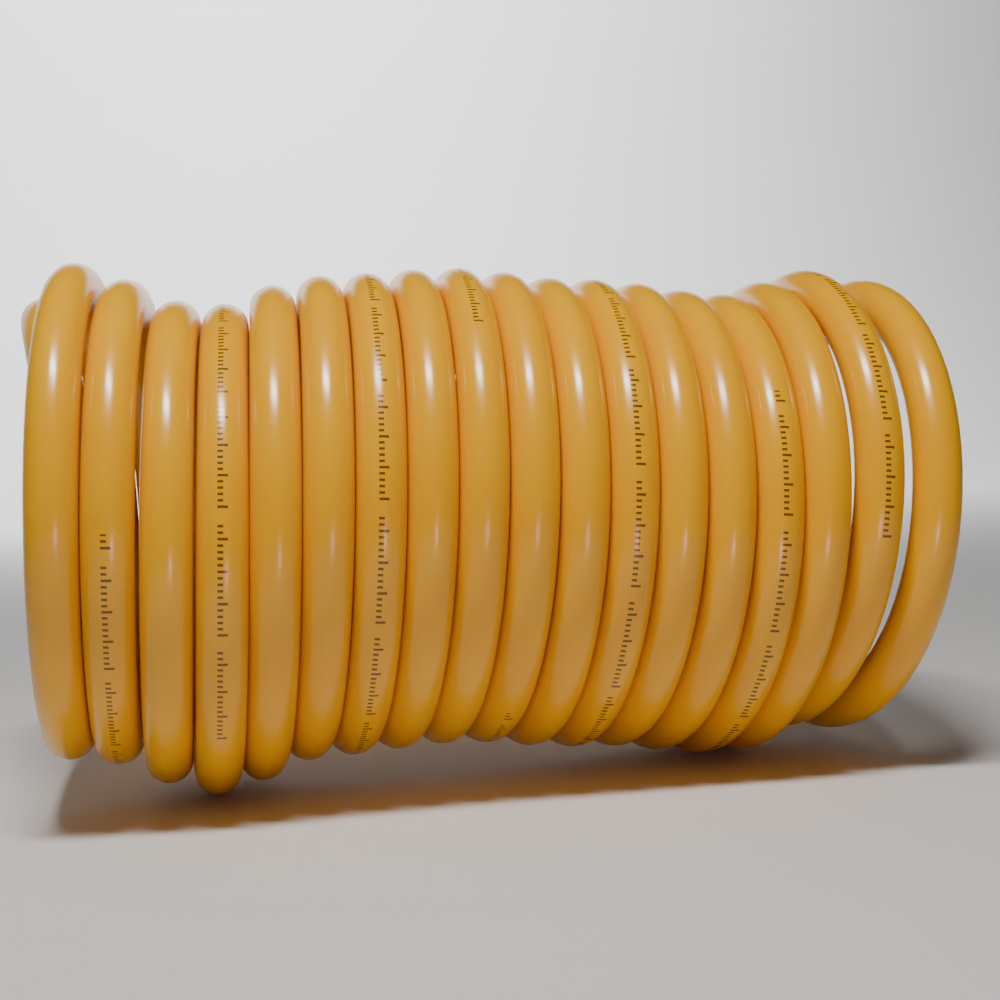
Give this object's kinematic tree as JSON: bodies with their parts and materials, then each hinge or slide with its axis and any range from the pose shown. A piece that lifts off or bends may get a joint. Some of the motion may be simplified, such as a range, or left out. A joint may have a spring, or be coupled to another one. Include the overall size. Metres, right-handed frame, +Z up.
{
  "type": "recoil air hose",
  "caption": "Coiled nylon air hose lying on its side, with a rigid male fitting and a swivel male fitting, each with a hose nut and a spring guard.",
  "frame": {"origin": "centre of the bounding box at its bottom, on the floor the coil lies on", "axes": "+X along the coil's axis from the inlet end to the outlet end, +Y from the coil towards the outlet fitting behind it, +Z up"},
  "size_m": [0.2508, 0.3258, 0.149],
  "materials": {
    "hose_nylon": "glossy, slightly translucent extruded nylon",
    "fitting_brass": "machined, lightly polished",
    "guard_steel": "zinc-plated spring wire",
    "ring_steel": "spring steel, oiled",
    "seal_rubber": "moulded O-ring"
  },
  "bodies": {
    "coil": {"hose_coil": "hose_nylon", "inlet_tail": "hose_nylon", "inlet_male_body": "fitting_brass", "inlet_ferrule": "fitting_brass", "inlet_hose_nut": "fitting_brass", "inlet_spring_guard": "guard_steel"},
    "outlet_end": {"outlet_tail": "hose_nylon", "outlet_swivel_stem": "fitting_brass", "outlet_swivel_seal": "seal_rubber", "outlet_retaining_ring": "ring_steel", "outlet_ferrule": "fitting_brass", "outlet_hose_nut": "fitting_brass", "outlet_spring_guard": "guard_steel"},
    "outlet_swivel": {"outlet_swivel_body": "fitting_brass"}
  },
  "joints": [
    {"name": "coil_stretch", "type": "slide", "parent": "coil", "child": "outlet_end", "axis": [1, 0, 0], "range_m": [0, 1.2], "stiffness_N_per_m": 10, "deforming": ["hose_coil"]},
    {"name": "outlet_swivel_turn", "type": "hinge", "parent": "outlet_end", "child": "outlet_swivel", "pos_m": [0.11437, 0.16293, 0.00952], "axis": [0, 1, 0], "continuous": true}
  ]
}
